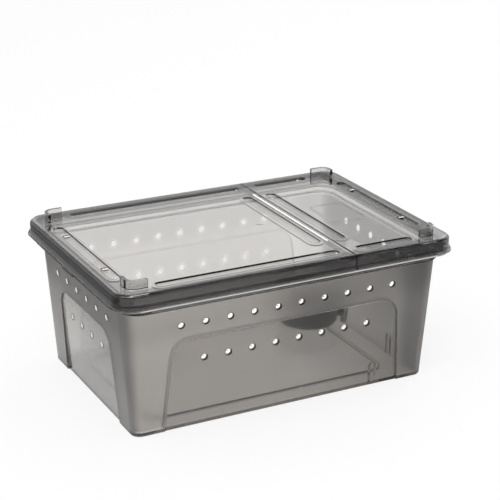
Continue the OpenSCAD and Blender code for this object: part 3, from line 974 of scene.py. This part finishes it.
def makeFloor():
    half = floorLook["size"] / 2
    mesh = bpy.data.meshes.new("floor")
    mesh.from_pydata([(-half, -half, 0), (half, -half, 0), (half, half, 0), (-half, half, 0)],
                     [], [(0, 1, 2, 3)])
    floor = bpy.data.objects.new("floor", mesh)
    floor.location.z = -floorLook["drop"]
    bpy.context.scene.collection.objects.link(floor)
    material = bpy.data.materials.new("floorWhite")
    material.use_nodes = True
    tree = material.node_tree
    tree.nodes.remove(tree.nodes["Principled BSDF"])
    matt = addNode(tree, "ShaderNodeBsdfDiffuse")
    feed(tree, matt.inputs["Color"], floorLook["grey"])
    ray = addNode(tree, "ShaderNodeLightPath").outputs
    x, y, _ = axes(tree, addNode(tree, "ShaderNodeTexCoord").outputs["Object"])
    slant = minus(tree, x, times(tree, y, floorLook["shadeSlant"]))
    through = ramp(tree, slant, *floorLook["shadeRange"],
                   floorLook["glassGlow"], floorLook["shadeGlow"])
    away = larger(tree, minus(tree, absolute(tree, x), floorLook["underLength"]),
                  minus(tree, absolute(tree, y), floorLook["underWidth"]))
    under = ramp(tree, away, *floorLook["underRange"], floorLook["underGlow"], 1.0)
    right = times(tree, below(tree, y, 0.0), ramp(tree, x, *floorLook["rightRange"]))
    left = ramp(tree, x, *floorLook["leftRange"])
    gloss = blendValue(tree, right, floorLook["glossGlow"], floorLook["rightGloss"])
    gloss = blendValue(tree, left, gloss, floorLook["leftGloss"])
    strength = blendValue(tree, ray["Is Camera Ray"], floorLook["plainGlow"], floorLook["glow"])
    strength = blendValue(tree, ray["Is Glossy Ray"], strength, gloss)
    strength = blendValue(tree, ray["Is Transmission Ray"], strength, times(tree, through, under))
    glow = addNode(tree, "ShaderNodeEmission")
    feed(tree, glow.inputs["Strength"], strength)
    both = addNode(tree, "ShaderNodeAddShader")
    feed(tree, both.inputs[0], matt.outputs[0])
    feed(tree, both.inputs[1], glow.outputs[0])
    feed(tree, tree.nodes["Material Output"].inputs["Surface"], both.outputs[0])
    mesh.materials.append(material)


makeFloor()


studio = {
    "white": 1.0,
    "ambient": 0.9,        # world light on matt surfaces
    "frontGloss": 0.35,    # what gloss mirrors of the dark side behind the camera
    "frontRange": (-0.5, 0.2),
    "aim": (0, 0, 50 * mm),
    "keyPower": 9.0,
    "keyPlace": (-0.7, -0.5, 1.3),
    "keySize": 1.0,
    "fillPower": 4.0,
    "fillPlace": (1.1, 0.6, 1.0),
    "fillSize": 1.2,
}


def makeWorld():
    world = bpy.data.worlds.new("studioWorld")
    bpy.context.scene.world = world
    world.use_nodes = True
    tree = world.node_tree
    inward = axes(tree, addNode(tree, "ShaderNodeTexCoord").outputs["Generated"])[1]
    ray = addNode(tree, "ShaderNodeLightPath").outputs
    gloss = ramp(tree, inward, *studio["frontRange"], studio["frontGloss"], studio["white"])
    strength = blendValue(tree, ray["Is Glossy Ray"], studio["ambient"], gloss)
    clear = larger(tree, ray["Is Camera Ray"], ray["Is Transmission Ray"])
    strength = blendValue(tree, clear, strength, studio["white"])
    feed(tree, tree.nodes["Background"].inputs["Color"], grey(1))
    feed(tree, tree.nodes["Background"].inputs["Strength"], strength)


def makeLamp(name, place, size, power):
    data = bpy.data.lights.new(name, "AREA")
    data.size = size
    data.energy = power
    lamp = bpy.data.objects.new(name, data)
    lamp.location = place
    lamp.rotation_mode = "QUATERNION"
    aim = Vector(studio["aim"]) - Vector(place)
    lamp.rotation_quaternion = aim.to_track_quat("-Z", "Y")
    lamp.visible_camera = False
    bpy.context.scene.collection.objects.link(lamp)


makeWorld()
makeLamp("keyLamp", studio["keyPlace"], studio["keySize"], studio["keyPower"])
makeLamp("fillLamp", studio["fillPlace"], studio["fillSize"], studio["fillPower"])
print("studio ready")


cameraView = {
    "azimuth": -27.495,
    "elevation": 20.672,
    "roll": 0.345,
    "distance": 1.1121,
    "target": (0.010440, 0.0, 0.088954),
    "focalPixels": 1541.19,
    "framePixels": 500,
    "sensor": 36,
    "clip": (0.05, 50),
}


def makeCamera():
    azimuth, elevation, roll = (math.radians(cameraView[name])
                                for name in ("azimuth", "elevation", "roll"))
    back = Vector((math.sin(azimuth) * math.cos(elevation),
                   -math.cos(azimuth) * math.cos(elevation), math.sin(elevation)))
    level = (-back).cross(Vector((0, 0, 1))).normalized()
    upright = level.cross(-back)
    right = math.cos(roll) * level + math.sin(roll) * upright
    up = math.cos(roll) * upright - math.sin(roll) * level
    place = Vector(cameraView["target"]) + back * cameraView["distance"]
    data = bpy.data.cameras.new("photoCamera")
    data.sensor_width = cameraView["sensor"]
    data.lens = cameraView["focalPixels"] / cameraView["framePixels"] * cameraView["sensor"]
    data.clip_start, data.clip_end = cameraView["clip"]
    camera = bpy.data.objects.new("photoCamera", data)
    bpy.context.scene.collection.objects.link(camera)
    turn = Matrix((right, up, back)).transposed().to_4x4()
    camera.matrix_world = Matrix.Translation(place) @ turn
    bpy.context.scene.camera = camera


makeCamera()
bpy.context.scene.view_settings.view_transform = "Standard"
print("camera set")
